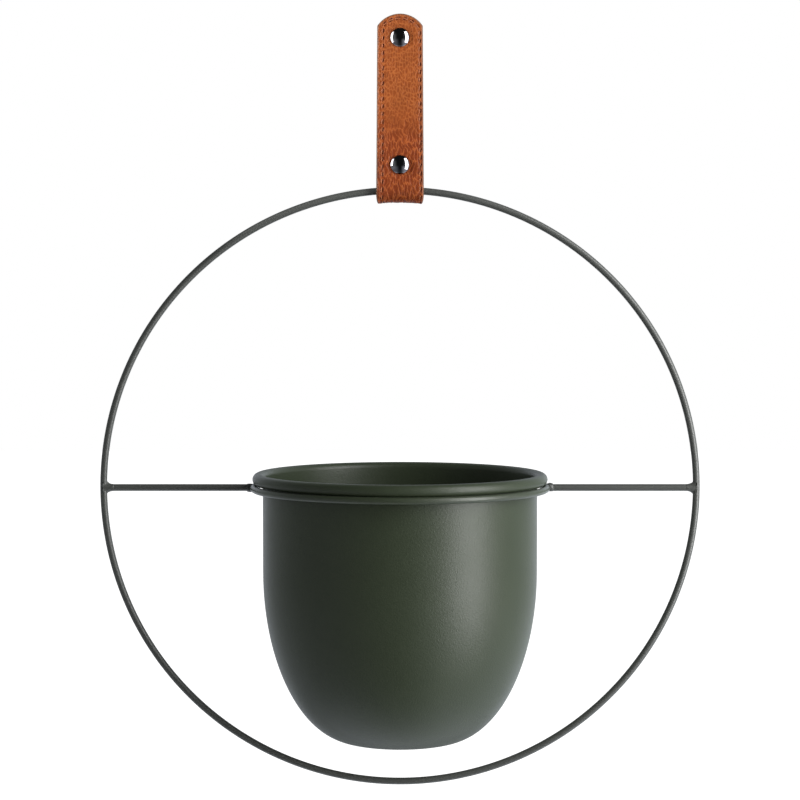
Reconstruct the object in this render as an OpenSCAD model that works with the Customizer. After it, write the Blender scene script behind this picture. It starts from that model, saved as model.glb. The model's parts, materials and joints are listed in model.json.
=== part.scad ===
// Hanging planter: a round wire hoop with a pot in its middle, hung from a folded leather strap.
// Millimetres. The origin is where a hook or rail carries the strap, under its upper fastener.
// +Z points up, X lies along the crossbars and -Y faces the viewer.

/* [Frame] */
// Outer diameter of the hoop
hoop_d = 301; // [240:1:420]
// Diameter of the wire in the hoop, the crossbars and the pot ring
wire_d = 3.5; // [2.5:0.1:5]
// How far each crossbar end is pressed into the wire that it meets
bar_bite = 0.5; // [0.3:0.05:0.8]
// Length of each weld along the crossbar
weld_len = 2.2; // [1:0.1:4]
// How far each weld stands out around the crossbar
weld_rise = 0.45; // [0.2:0.05:0.8]

/* [Pot] */
// Outer diameter of the pot's straight wall
pot_d = 137.6; // [100:0.2:180]
// Thickness of the pot's sheet steel
pot_wall = 0.8; // [0.5:0.1:1.5]
// Outer radius of the rolled rim
bead_r = 3; // [2.2:0.1:4]
// Length of the straight wall under the middle of the rolled rim
pot_straight = 46.6; // [20:0.2:80]
// Height of the rounded part of the pot
pot_bowl = 85.7; // [50:0.1:120]
// Diameter of the flat bottom
pot_foot_d = 47.6; // [20:0.2:80]
// Play between the pot's straight wall and the ring's wire
ring_play = 2.85; // [0.6:0.05:3.5]
// Space between the rolled rim and the ring that it rests on
rest_gap = 0.3; // [0.1:0.05:0.5]

/* [Strap] */
// Width of the strap at the fold
strap_w = 23.7; // [20:0.1:32]
// Width of the strap at the corners of its tip
strap_tip_w = 22.6; // [19:0.1:32]
// Thickness of the outer leather
leather_t = 1.7; // [1.2:0.1:2.2]
// Thickness of the lining leather
lining_t = 1.5; // [1:0.1:2]
// Height of the tip above the hoop's wire
tip_height = 87.2; // [80:0.2:120]
// Radius of the rounded tip
tip_r = 13.6; // [12.5:0.1:18]
// Height of the lower press stud above the hoop's wire
lower_height = 12.6; // [11:0.1:16]
// Distance from the tip down to the upper press stud
tip_inset = 11.8; // [10:0.1:14]
// Distance from the lower press stud to the line on which the front leaf folds open
flap_rise = 6.4; // [6:0.1:8]
// Slit between the fixed and the folding part of the front leaf
flap_slit = 0.3; // [0.1:0.05:0.6]
// Gap between the leaves where the hook or rail goes
loop_gap = 5.2; // [4.6:0.1:7]
// Gap between the leaves at the press studs
snap_gap = 3.6; // [3.4:0.1:4.4]
// Room around the wire inside the fold
fold_play = 0.36; // [0.2:0.02:0.8]

/* [Stitching] */
// Distance from one stitch to the next
stitch_pitch = 3.8; // [3:0.1:5]
// Length of one stitch
stitch_len = 2.9; // [2:0.1:4]
// Width of the thread
thread_w = 0.6; // [0.4:0.05:1]
// How far the thread stands out of the leather
thread_t = 0.3; // [0.2:0.05:0.5]
// Distance from the left edge to the left row
seam_inset_left = 2.7; // [1.5:0.1:3.5]
// Distance from the right edge to the right row
seam_inset_right = 1.8; // [1.5:0.1:3.5]
// Distance from the tip's edge to the row that follows it
seam_inset_tip = 2.5; // [1.8:0.1:3.5]

/* [Fasteners] */
// Diameter of the domed caps
cap_d = 9.5; // [8:0.1:10.2]
// Height of the domed caps
cap_h = 2.4; // [1.6:0.1:3]
// Height of the straight edge of the caps
cap_edge = 0.4; // [0.2:0.05:0.6]
// Sheet thickness of the fastener pieces
sheet_t = 0.35; // [0.25:0.05:0.45]
// Width of the lip that is turned in under each cap
lip_w = 0.9; // [0.6:0.05:1.2]
// Outer diameter of the tubes that go through the leather
tube_d = 3.2; // [2.8:0.1:3.6]
// Diameter of the press stud's head
stud_head_d = 3.8; // [3.4:0.1:4]
// Diameter of the press stud's neck
stud_neck_d = 3.1; // [2.9:0.1:3.2]
// Diameter of the press stud's base and of its socket
socket_d = 8.4; // [7.6:0.1:9.2]
// Thickness of the stud's base and of the socket's floor
base_t = 0.5; // [0.4:0.05:0.6]
// Diameter of the spring ring's wire
spring_wire_d = 0.5; // [0.4:0.05:0.6]
// Room around the stud's head inside the spring ring
stud_play = 0.4; // [0.35:0.05:0.5]
// Height of the curled edge of the rear eyelets
eyelet_curl = 0.5; // [0.3:0.05:0.8]

/* [Fit] */
// Clearance between metal pieces that fit in each other
fit_gap = 0.05; // [0.03:0.01:0.08]
// Clearance of the holes in the leather
hole_gap = 0.1; // [0.05:0.01:0.2]

/* [Hidden] */
$fn = 96;
// Facets round the hoop and the pot ring, and round their wire
ring_facets = 360;
wire_facets = 64;

leather_colour = [0.62, 0.33, 0.16];
lining_colour = [0.52, 0.30, 0.17];
thread_colour = [0.50, 0.25, 0.12];
metal_colour = [0.42, 0.42, 0.44];
spring_colour = [0.70, 0.70, 0.72];
frame_colour = [0.24, 0.26, 0.24];
pot_colour = [0.20, 0.25, 0.20];

// How far cuts run past what they cut, as a share of a wire's diameter
overrun_share = 0.3;
overrun = wire_d*overrun_share;

// Heights above the hoop's wire, then in the part's own frame
upper_height = tip_height - tip_inset;
hang_height = upper_height - socket_d/2 - rest_gap;
flap_height = lower_height + flap_rise;
wire_z = -hang_height;
wire_r = wire_d/2;
hoop_r = hoop_d/2 - wire_r;
hoop_z = wire_z - hoop_r;

// The pot's inner radius sets the rolled rim, and the rim rests on the ring
pot_r = pot_d/2;
pot_bore_r = pot_r - pot_wall;
bead_ring_r = pot_bore_r + bead_r;
ring_r = pot_r + ring_play + wire_r;
bead_rise = sqrt(pow(bead_r + wire_r + rest_gap, 2) - pow(ring_r - bead_ring_r, 2));
bead_z = hoop_z + bead_rise;
bowl_z = bead_z - pot_straight;
pot_steps = 30;
bead_steps = 40;
// The rim's sheet ends short of the wall, after this part of a full turn
bead_turn_share = 0.86;

// The fold clears the hoop's wire, which drops toward the strap's edges
strap_t = leather_t + lining_t;
wire_drop = hoop_r - sqrt(pow(hoop_r, 2) - pow(strap_w/2, 2));
fold_r = wire_r + wire_drop + fold_play;
cap_r = cap_d/2;
land = cap_r + sheet_t;
leaf_steps = 48;
fold_steps = 24;
stitch_steps = 6;
tip_steps = 24;
// Share of the height between the press studs' flat lands over which the leaves part, and close
part_share = 0.35;
part_z = flap_height + flap_slit;
part_len = (upper_height - flap_height - land)*part_share;
close_z = upper_height - land - part_len;
corner_height = tip_height - tip_r + sqrt(pow(tip_r, 2) - pow(strap_tip_w/2, 2));

// Eased step from 0 to 1
function ease(t) = let(c = max(0, min(1, t))) c*c*(3 - 2*c);

// Half of the gap between the leaves at a height above the wire
function half_gap(h) =
  fold_r
  + (snap_gap/2 - fold_r)*ease(h/(lower_height - land))
  + (loop_gap - snap_gap)/2*ease((h - part_z)/part_len)
  + (snap_gap - loop_gap)/2*ease((h - close_z)/part_len);

// Slope of that curve, over one thread's width
function gap_slope(h) = (half_gap(h + thread_w) - half_gap(h - thread_w))/(2*thread_w);

// A point of one leaf, at a depth outward from its inner face: distance from the middle, height
function leaf_point(h, depth) =
  let(m = gap_slope(h), n = 1/sqrt(1 + m*m))
  [half_gap(h) + depth*n, h - depth*m*n];

// One edge of a leaf between two heights, side 1 at the rear and -1 at the front
function leaf_edge(from, to, depth, side, steps) = [
  for (i = [0:steps])
    let(p = leaf_point(from + (to - from)*i/steps, depth)) [side*p[0], p[1]]
];

// One edge of the fold, which goes under the wire from the front to the rear
function fold_edge(depth, from, to, steps) = [
  for (i = [0:steps])
    let(a = 180 + from + (to - from)*i/steps) (fold_r + depth)*[cos(a), sin(a)]
];

// The strap's fixed part: up from the cut in the front leaf, round the fold, to the rear tip
function strap_edge(depth) = concat(
  leaf_edge(flap_height - flap_slit/2, 0, depth, -1, leaf_steps),
  fold_edge(depth, 0, 180, fold_steps),
  leaf_edge(0, flap_height - flap_slit/2, depth, 1, leaf_steps),
  leaf_edge(flap_height + flap_slit/2, tip_height, depth, 1, leaf_steps)
);

// The folding part of the front leaf, from the cut to the front tip
function flap_edge(depth) = leaf_edge(flap_height + flap_slit/2, tip_height, depth, -1, leaf_steps);

function reversed(list) = [for (i = [len(list) - 1:-1:0]) list[i]];

// Width of the strap at a height above the wire
function width_at(h) = strap_w + (strap_tip_w - strap_w)*max(0, min(1, h/corner_height));

// Turns a drawing of the strap's side into a band across its width
module across(width, middle = 0)
  translate([middle, 0, wire_z])
    rotate([90, 0, 90])
      linear_extrude(height = width, center = true)
        children();

// The strap's outline from the front: tapering sides and a rounded tip
module strap_outline() {
  tip_middle = tip_height - tip_r;
  half_angle = asin(strap_tip_w/2/tip_r);
  below = fold_r + strap_t + overrun;
  translate([0, 0, wire_z])
    rotate([90, 0, 0])
      linear_extrude(height = 2*(loop_gap + strap_t), center = true)
        polygon(concat(
          [[-strap_w/2, -below], [strap_w/2, -below], [strap_w/2, 0]],
          [for (i = [0:tip_steps])
            let(a = half_angle*(1 - 2*i/tip_steps)) [tip_r*sin(a), tip_middle + tip_r*cos(a)]],
          [[-strap_w/2, 0]]
        ));
}

// Puts a turned piece at a height above the wire, on a face at y, pointing to the front
module to_front(height, y)
  translate([0, y, wire_z + height])
    rotate([90, 0, 0])
      children();

// The same, pointing to the rear
module to_rear(height, y)
  translate([0, y, wire_z + height])
    rotate([-90, 0, 0])
      children();

// A hole straight through both leaves
module leaf_hole(height)
  to_front(height, loop_gap + strap_t)
    cylinder(h = 2*(loop_gap + strap_t), r = tube_d/2 + hole_gap);

// One ply of leather between two edges of the side view
module ply(inner, outer)
  difference() {
    intersection() {
      across(strap_w + overrun) polygon(concat(inner, reversed(outer)));
      strap_outline();
    }
    leaf_hole(lower_height);
    leaf_hole(upper_height);
  }

// One stitch on a leaf's outer face, centred at a height above the wire
module leaf_stitch(height, side, x)
  across(thread_w, x)
    polygon(concat(
      leaf_edge(height - stitch_len/2, height + stitch_len/2, strap_t, side, stitch_steps),
      reversed(leaf_edge(height - stitch_len/2, height + stitch_len/2, strap_t + thread_t, side, stitch_steps))
    ));

// One stitch on the outside of the fold, at an angle from the front
module fold_stitch(angle, x) {
  half = stitch_len/2/(fold_r + strap_t)*180/PI;
  across(thread_w, x)
    polygon(concat(
      fold_edge(strap_t, angle - half, angle + half, stitch_steps),
      reversed(fold_edge(strap_t + thread_t, angle - half, angle + half, stitch_steps))
    ));
}

// Where the two side rows and the row round the tip lie
seam_left = function(h) seam_inset_left - width_at(h)/2;
seam_right = function(h) width_at(h)/2 - seam_inset_right;
seam_tip_r = tip_r - seam_inset_tip;
seam_tip_from = asin(seam_left(corner_height)/seam_tip_r);
seam_tip_to = asin(seam_right(corner_height)/seam_tip_r);
seam_top = tip_height - tip_r + seam_tip_r*min(cos(seam_tip_from), cos(seam_tip_to));
side_stitches = floor(seam_top/stitch_pitch);
tip_stitches = floor((seam_tip_to - seam_tip_from)*PI/180*seam_tip_r/stitch_pitch);

// The two side rows on one leaf, between two heights
module side_rows(from, to, side)
  for (i = [0:side_stitches - 1]) {
    h = stitch_pitch*(i + 1/2);
    if (h - stitch_len/2 > from && h + stitch_len/2 < to) {
      leaf_stitch(h, side, seam_left(h));
      leaf_stitch(h, side, seam_right(h));
    }
  }

// The row that follows the rounded tip, on the outer face at y
module tip_row(y)
  for (i = [0:tip_stitches - 1]) {
    a = seam_tip_from + (seam_tip_to - seam_tip_from)*(i + 1/2)/tip_stitches;
    translate([0, y, wire_z + tip_height - tip_r])
      rotate([0, a, 0])
        translate([-stitch_len/2, 0, seam_tip_r - thread_w/2])
          cube([stitch_len, thread_t, thread_w]);
  }

// The two rows round the fold
module fold_rows() {
  count = floor(PI*(fold_r + strap_t)/stitch_pitch);
  for (i = [0:count - 1]) {
    a = 180*(i + 1/2)/count;
    fold_stitch(a, seam_left(0));
    fold_stitch(a, seam_right(0));
  }
}

snap_face = snap_gap/2 + strap_t;

module strap_outer_leather()
  color(leather_colour)
    ply(strap_edge(lining_t), strap_edge(strap_t));

module strap_lining()
  color(lining_colour)
    ply(strap_edge(0), strap_edge(lining_t));

module strap_stitching()
  color(thread_colour) {
    side_rows(0, flap_height - flap_slit/2, -1);
    side_rows(0, tip_height, 1);
    fold_rows();
    tip_row(snap_face);
  }

module flap_outer_leather()
  color(leather_colour)
    ply(flap_edge(lining_t), flap_edge(strap_t));

module flap_lining()
  color(lining_colour)
    ply(flap_edge(0), flap_edge(lining_t));

module flap_stitching()
  color(thread_colour) {
    side_rows(flap_height + flap_slit/2, tip_height, -1);
    tip_row(-snap_face - thread_t);
  }

// Points of a dome from its edge to its middle, as radius and height
dome_steps = 16;
function dome(radius, edge, top) =
  let(rise = top - edge, ball = (radius*radius + rise*rise)/(2*rise), span = asin(radius/ball))
  [for (i = [0:dome_steps])
    let(a = span*(1 - i/dome_steps)) [ball*sin(a), top - ball + ball*cos(a)]];

// Domed cap with a lip turned in under the flange that it holds
module cap_shell()
  rotate_extrude()
    polygon(concat(
      [[cap_r - lip_w, 0], [cap_r, 0]],
      dome(cap_r, cap_edge, cap_h),
      reversed(dome(cap_r - sheet_t, cap_edge, cap_h - sheet_t)),
      [[cap_r - sheet_t, sheet_t], [cap_r - lip_w, sheet_t]]
    ));

// Flange inside a cap, resting on its lip, dished down to the leather
flange_r = cap_r - sheet_t - fit_gap;
flange_z = sheet_t;
module cap_flange(bore_r)
  rotate_extrude()
    polygon([
      [bore_r, 0], [cap_r - lip_w - fit_gap - sheet_t, 0], [cap_r - lip_w - fit_gap, flange_z],
      [flange_r, flange_z], [flange_r - sheet_t/2, flange_z + sheet_t/2],
      [cap_r - lip_w - sheet_t, flange_z + sheet_t/2],
      [bore_r, flange_z + sheet_t/2]
    ]);

tube_r = tube_d/2;
tube_bore_r = tube_r - sheet_t;
socket_r = socket_d/2;
socket_h = snap_gap - base_t - rest_gap;
head_r = stud_head_d/2;
mouth_r = head_r + stud_play;
cavity_r = mouth_r + spring_wire_d + fit_gap;
roll_r = tube_r + sheet_t;
stud_h = snap_gap - base_t - sheet_t - rest_gap/2;
head_h = (stud_h - base_t)*2/5;
eyelet_r = stud_neck_d/2 - sheet_t - fit_gap;

// Domed cap on the front leaf's outer face
module snap_cap(height)
  color(metal_colour)
    to_front(height, -snap_face) cap_shell();

// Flange and tube that hold the socket, with the tube's end rolled over the socket's floor
module snap_post(height)
  color(metal_colour)
    to_front(height, -snap_face) {
      cap_flange(tube_bore_r);
      difference() {
        union() {
          translate([0, 0, -strap_t - base_t]) cylinder(h = strap_t + base_t + fit_gap, r = tube_r);
          translate([0, 0, -strap_t - base_t - sheet_t]) cylinder(h = sheet_t, r = roll_r);
        }
        translate([0, 0, -strap_t - base_t - 2*sheet_t])
          cylinder(h = strap_t + base_t + 3*sheet_t, r = tube_bore_r);
      }
    }

// Cup on the front leaf's inner face, narrower toward its mouth
module snap_socket(height)
  color(metal_colour)
    to_rear(height, -snap_gap/2)
      rotate_extrude()
        polygon([
          [tube_r + fit_gap, 0], [socket_r, 0], [socket_r, base_t],
          [cavity_r + sheet_t, socket_h - sheet_t], [cavity_r, socket_h],
          [mouth_r, socket_h], [mouth_r, socket_h - sheet_t], [cavity_r, socket_h - sheet_t],
          [cavity_r, base_t], [tube_r + fit_gap, base_t]
        ]);

// Open spring ring behind the socket's mouth, shown spread by the stud's head
spring_open = 50;
module snap_spring(height)
  color(spring_colour)
    to_rear(height, -snap_gap/2)
      translate([0, 0, socket_h - sheet_t - fit_gap - spring_wire_d/2])
        rotate([0, 0, spring_open/2])
          rotate_extrude(angle = 360 - spring_open)
            translate([mouth_r + spring_wire_d/2, 0]) circle(d = spring_wire_d);

// Base, neck and head of the stud on the rear leaf's inner face
module snap_stud(height)
  color(metal_colour)
    to_front(height, snap_gap/2)
      rotate_extrude()
        polygon([
          [eyelet_r + fit_gap, 0], [socket_r, 0], [socket_r, base_t/2], [socket_r - base_t, base_t],
          [stud_neck_d/2, base_t], [stud_neck_d/2, stud_h - head_h],
          [head_r, stud_h - head_h*2/3], [head_r, stud_h - head_h/3], [head_r - head_h/3, stud_h],
          [eyelet_r + fit_gap, stud_h]
        ]);

// Rear eyelet: a flange with a curled edge, and the tube through the leather and the stud
module snap_eyelet(height)
  color(metal_colour)
    to_rear(height, snap_face)
      rotate_extrude()
        polygon([
          [eyelet_r - sheet_t, -strap_t - stud_h], [eyelet_r, -strap_t - stud_h], [eyelet_r, 0],
          [socket_r, 0], [socket_r, sheet_t], [socket_r - eyelet_curl, sheet_t + eyelet_curl],
          [eyelet_r + eyelet_curl, sheet_t + eyelet_curl], [eyelet_r - sheet_t, sheet_t]
        ]);

module lower_snap_cap() snap_cap(lower_height);
module lower_snap_post() snap_post(lower_height);
module lower_snap_socket() snap_socket(lower_height);
module lower_snap_spring() snap_spring(lower_height);
module lower_snap_stud() snap_stud(lower_height);
module lower_snap_eyelet() snap_eyelet(lower_height);
module upper_snap_cap() snap_cap(upper_height);
module upper_snap_post() snap_post(upper_height);
module upper_snap_socket() snap_socket(upper_height);
module upper_snap_spring() snap_spring(upper_height);
module upper_snap_stud() snap_stud(upper_height);
module upper_snap_eyelet() snap_eyelet(upper_height);

// A ring of the frame's wire about +Z
module wire_ring(radius)
  rotate_extrude($fn = ring_facets)
    translate([radius, 0]) circle(d = wire_d, $fn = wire_facets);

module hoop_wire()
  translate([0, 0, hoop_z])
    rotate([90, 0, 0])
      wire_ring(hoop_r);

module ring_wire()
  translate([0, 0, hoop_z]) wire_ring(ring_r);

bar_from = ring_r + wire_r - bar_bite;
bar_to = hoop_r - wire_r + bar_bite;

// Crossbar toward +X, with each end hollowed to sit on the wire that it meets
module crossbar()
  difference() {
    translate([bar_from, 0, hoop_z])
      rotate([0, 90, 0])
        cylinder(h = bar_to - bar_from, d = wire_d);
    hoop_wire();
    ring_wire();
  }

// Profile of a weld: a concave fillet that narrows along the bar
weld_steps = 8;
weld_bore = wire_r;
function fillet_points() = [
  for (i = [0:weld_steps])
    let(a = 90*i/weld_steps)
      [weld_bore + weld_rise*(1 - sin(a)), bar_bite + weld_len*(1 - cos(a))]
];

// Weld collar around a bar's end, growing from the wire that the bar meets
module weld_collar()
  rotate_extrude()
    polygon(concat([[weld_bore, 0], [weld_bore + weld_rise, 0]], fillet_points()));

module outer_hoop()
  color(frame_colour)
    hoop_wire();

module left_crossbar()
  color(frame_colour)
    mirror([1, 0, 0]) crossbar();

module right_crossbar()
  color(frame_colour)
    crossbar();

module pot_ring()
  color(frame_colour)
    ring_wire();

// The two welds at the hoop
module hoop_welds()
  color(frame_colour)
    for (side = [0, 1])
      mirror([side, 0, 0])
        difference() {
          translate([bar_to, 0, hoop_z]) rotate([0, -90, 0]) weld_collar();
          hoop_wire();
        }

// The two welds at the pot ring
module ring_welds()
  color(frame_colour)
    for (side = [0, 1])
      mirror([side, 0, 0])
        difference() {
          translate([bar_from, 0, hoop_z]) rotate([0, 90, 0]) weld_collar();
          ring_wire();
        }

// Half of a round bowl's side, from its flat bottom up to the straight wall
function bowl_side(inset) = [
  for (i = [0:pot_steps])
    let(a = 90*i/pot_steps)
      [pot_foot_d/2 + (pot_r - inset - pot_foot_d/2)*sin(a), bowl_z - (pot_bowl - inset)*cos(a)]
];

// The rolled rim: the sheet goes up, out, down and back under itself
function bead_side(radius, from, to) = [
  for (i = [0:bead_steps])
    let(a = from + (to - from)*i/bead_steps)
      [bead_ring_r + radius*cos(a), bead_z + radius*sin(a)]
];

module pot_shell() {
  bead_end = 180 - 360*bead_turn_share;
  color(pot_colour)
    rotate_extrude()
      polygon(concat(
        [[0, bowl_z - pot_bowl]],
        bowl_side(0),
        bead_side(bead_r - pot_wall, 180, bead_end),
        bead_side(bead_r, bead_end, 180),
        reversed(bowl_side(pot_wall)),
        [[0, bowl_z - pot_bowl + pot_wall]]
      ));
}

strap_outer_leather();
strap_lining();
strap_stitching();
lower_snap_cap();
lower_snap_post();
lower_snap_socket();
lower_snap_spring();
lower_snap_stud();
lower_snap_eyelet();
upper_snap_stud();
upper_snap_eyelet();
flap_outer_leather();
flap_lining();
flap_stitching();
upper_snap_cap();
upper_snap_post();
upper_snap_socket();
upper_snap_spring();
outer_hoop();
left_crossbar();
right_crossbar();
pot_ring();
hoop_welds();
ring_welds();
pot_shell();
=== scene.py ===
"""Hanging planter: a powder-coated wire hoop and pot, hung from a folded leather strap.

Surfaces are worked out in millimetres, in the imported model's own frame, and meshed in metres.
"""

import json
import math

import bpy
import numpy as np
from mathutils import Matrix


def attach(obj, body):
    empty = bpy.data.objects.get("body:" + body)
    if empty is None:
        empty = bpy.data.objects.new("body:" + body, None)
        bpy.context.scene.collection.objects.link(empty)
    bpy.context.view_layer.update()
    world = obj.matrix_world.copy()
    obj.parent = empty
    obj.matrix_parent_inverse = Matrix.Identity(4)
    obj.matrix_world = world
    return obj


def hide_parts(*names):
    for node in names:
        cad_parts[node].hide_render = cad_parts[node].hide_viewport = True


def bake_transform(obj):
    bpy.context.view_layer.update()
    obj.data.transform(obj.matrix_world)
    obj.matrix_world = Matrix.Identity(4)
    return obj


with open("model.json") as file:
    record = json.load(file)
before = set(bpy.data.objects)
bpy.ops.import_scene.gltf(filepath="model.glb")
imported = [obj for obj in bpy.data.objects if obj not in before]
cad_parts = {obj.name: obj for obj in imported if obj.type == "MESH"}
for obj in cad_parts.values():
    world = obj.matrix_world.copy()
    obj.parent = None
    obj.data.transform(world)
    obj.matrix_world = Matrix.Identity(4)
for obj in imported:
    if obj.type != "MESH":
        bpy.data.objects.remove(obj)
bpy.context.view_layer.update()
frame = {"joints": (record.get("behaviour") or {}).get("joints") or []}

MM = 0.001
joints = {joint["name"]: joint for joint in frame["joints"]}

# The frame and the pot, in millimetres
wire_z = joints["hoop_swing"]["pos_m"][2] / MM
wire_r = 1.75
hoop_r = 148.75
hoop_z = wire_z - hoop_r
ring_r = 73.4
bar_end_gap = 0.05
weld_skin = 0.015
fillet_len = 3.4
fillet_rise = 2.1
fillet_root = 0.2
weld_bead_rise = 0.6
weld_bead_half = 1.6
weld_bead_middle = ring_r + 1.9
pot_r = 68.8
pot_wall = 0.8
bead_r = 3.0
bead_turn_share = 0.86
rest_gap = 0.3
pot_straight = 46.6
pot_bowl = 85.7
foot_r = 23.8

# The strap
strap_w = 23.7
strap_tip_w = 22.6
leather_t = 1.7
lining_t = 1.5
strap_t = leather_t + lining_t
tip_height = 87.2
tip_r = 13.6
tip_middle = tip_height - tip_r
corner_height = tip_middle + math.sqrt(tip_r**2 - (strap_tip_w / 2) ** 2)
lower_height = 12.6
upper_height = 75.4
snap_gap = 3.6
loop_gap = 5.2
fold_play = 0.36
fold_r = wire_r + hoop_r - math.sqrt(hoop_r**2 - (strap_w / 2) ** 2) + fold_play
fold_out = fold_r + strap_t
fold_bottom = -fold_out * math.pi / 2
hinge_height = joints["flap_open"]["pos_m"][2] / MM - wire_z

# The seam
stitch_pitch = 3.8
stitch_share = 0.74
thread_r = 0.3
seam_left = 2.7
seam_right = 1.8
seam_tip = 2.5

# The press studs
cap_r = 4.75
cap_h = 2.4
cap_edge = 0.4
sheet_t = 0.35
lip_w = 0.9
tube_r = 1.6
head_r = 1.9
neck_r = 1.55
socket_r = 4.2
base_t = 0.5
spring_r = 0.25
stud_play = 0.4
eyelet_curl = 0.5
fit_gap = 0.05
land = cap_r + sheet_t


# Meshes

def make_piece(name, points, faces, material, body=None, replaces=(), slot=None, values=None):
    """A smooth mesh object from points in millimetres; values are named floats for each point."""
    mesh = bpy.data.meshes.new(name)
    mesh.from_pydata((points * MM).tolist(), [], faces)
    mesh.update()
    mesh.shade_smooth()
    for label, floats in (values or {}).items():
        mesh.attributes.new(label, "FLOAT", "POINT").data.foreach_set("value", floats.ravel())
    piece = bpy.data.objects.new(name, mesh)
    bpy.context.scene.collection.objects.link(piece)
    mesh.materials.append(material)
    if replaces:
        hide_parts(*replaces)
    if body:
        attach(piece, body)
    return piece


def grid_faces(rows, cols, wrap_rows, wrap_cols):
    """Four-cornered faces between neighbouring points of a grid, closed round where it wraps."""
    i = np.arange(rows if wrap_rows else rows - 1)[:, None]
    j = np.arange(cols if wrap_cols else cols - 1)[None, :]
    up, right = (i + 1) % rows, (j + 1) % cols
    corners = (i * cols + j, up * cols + j, up * cols + right, i * cols + right)
    return np.stack(np.broadcast_arrays(*corners), -1).reshape(-1, 4)


def outward(points, faces):
    """The faces, all turned round if the volume that they close comes out negative."""
    a, b, c, d = (points[faces[:, k]] for k in range(4))
    volume = (a * np.cross(b, c)).sum() + (a * np.cross(c, d)).sum()
    return faces[:, ::-1] if volume < 0 else faces


def grid_piece(name, points, ring, material, body=None, poles=True, **rest):
    """A solid from a grid whose columns close round. Its rows close into a ring too,
    or with poles each end row is one point, or with neither each end row is one flat face."""
    rows, cols = points.shape[:2]
    flat = points.reshape(-1, 3)
    faces = outward(flat, grid_faces(rows, cols, ring, True))
    if ring:
        return make_piece(name, flat, faces.tolist(), material, body, **rest)
    if poles:
        index = np.arange(rows * cols)
        index[:cols] = 0
        index[-cols:] = (rows - 1) * cols
        used, place = np.unique(index, return_inverse=True)
        faces = place[faces]
        twin = faces == np.roll(faces, -1, axis=1)
        ends = twin.any(axis=1)
        triangles = faces[ends][~twin[ends]].reshape(-1, 3)
        listed = faces[~ends].tolist() + triangles.tolist()
        return make_piece(name, flat[used], listed, material, body, **rest)
    first, last = list(range(cols)), list(range((rows - 1) * cols, rows * cols))
    same_way = faces[0, 0] == 0 and faces[0, 1] == cols
    ends = [first, last[::-1]] if same_way else [first[::-1], last]
    return make_piece(name, flat, faces.tolist() + ends, material, body, **rest)


def turn(profile, steps=96):
    """Each (radius, height) of a profile turned round +Z: (r cos a, r sin a, height)."""
    profile = np.asarray(profile, float)
    a = np.arange(steps) * 2 * np.pi / steps
    r, z = profile[:, :1], profile[:, 1:]
    return np.stack(np.broadcast_arrays(r * np.cos(a), r * np.sin(a), z), -1)


def rounded(corners, radius, steps=4):
    """A closed profile with each corner cut by a quadratic curve that starts radius away from it."""
    corners = np.array(corners, float)
    before, after = np.roll(corners, 1, axis=0) - corners, np.roll(corners, -1, axis=0) - corners
    reach_before = np.minimum(radius / np.linalg.norm(before, axis=1, keepdims=True), 0.45)
    reach_after = np.minimum(radius / np.linalg.norm(after, axis=1, keepdims=True), 0.45)
    t = np.linspace(0, 1, steps + 1)[None, :, None]
    start, end = (corners + before * reach_before)[:, None], (corners + after * reach_after)[:, None]
    curve = (1 - t) ** 2 * start + 2 * t * (1 - t) * corners[:, None] + t**2 * end
    return curve.reshape(-1, 2)


def to_front(points, height, y):
    """A turned piece laid on a face at y, its axis pointing to the front: (x, y - z, height + y)."""
    x, across, z = np.moveaxis(points, -1, 0)
    return np.stack([x, y - z, wire_z + height + across], -1)


def to_rear(points, height, y):
    """The same with its axis pointing to the rear: (x, y + z, height - y)."""
    x, across, z = np.moveaxis(points, -1, 0)
    return np.stack([x, y + z, wire_z + height - across], -1)


# Curves and noise as whole arrays

def ease(t):
    """Eased step from 0 to 1: t squared times (3 - 2t)."""
    t = np.clip(t, 0, 1)
    return t * t * (3 - 2 * t)


def bump(distance, width):
    """A bell of height 1: e to the power of minus (distance over width) squared."""
    return np.exp(-((distance / width) ** 2))


def lattice(u, v, seed):
    """A random value from 0 to 1 for each pair of whole numbers, by mixing their bits."""
    n = (u * 374761393 + v * 668265263 + seed * 144269504) & 0xFFFFFFFF
    n = ((n ^ (n >> 13)) * 1274126177) & 0xFFFFFFFF
    return ((n ^ (n >> 16)) & 0xFFFF) / 65535.0


def soft_noise(x, y, seed):
    """Smooth noise from -1 to 1 with features about 1 wide: lattice values joined by eased steps."""
    u, v = np.floor(x).astype(np.int64), np.floor(y).astype(np.int64)
    p, q = ease(x - u), ease(y - v)
    low = lattice(u, v, seed) * (1 - p) + lattice(u + 1, v, seed) * p
    high = lattice(u, v + 1, seed) * (1 - p) + lattice(u + 1, v + 1, seed) * p
    return 2 * (low * (1 - q) + high * q) - 1


def cell_border(x, y, seed):
    """Distance to the second nearest of scattered points less that to the nearest: 0 on a border."""
    u, v = np.floor(x).astype(np.int64), np.floor(y).astype(np.int64)
    near, second = np.full(x.shape, 9.0), np.full(x.shape, 9.0)
    for du in (-1, 0, 1):
        for dv in (-1, 0, 1):
            point_x = u + du + 0.1 + 0.8 * lattice(u + du, v + dv, seed)
            point_y = v + dv + 0.1 + 0.8 * lattice(u + du, v + dv, seed + 7)
            d = np.hypot(point_x - x, point_y - y)
            second = np.minimum(second, np.maximum(near, d))
            near = np.minimum(near, d)
    return second - near


# The strap's surface. A place on it is x across, s along and a depth outward from the inner face.
# s is the height above the hoop's wire, and below 0 the way round the fold's outside.

part_z = hinge_height + 0.3
part_len = (upper_height - hinge_height - land) * 0.35
close_z = upper_height - land - part_len
fold_droop = 0.8
fold_droop_len = 8
fold_inset = 0.45
fold_inset_len = 7


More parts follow.
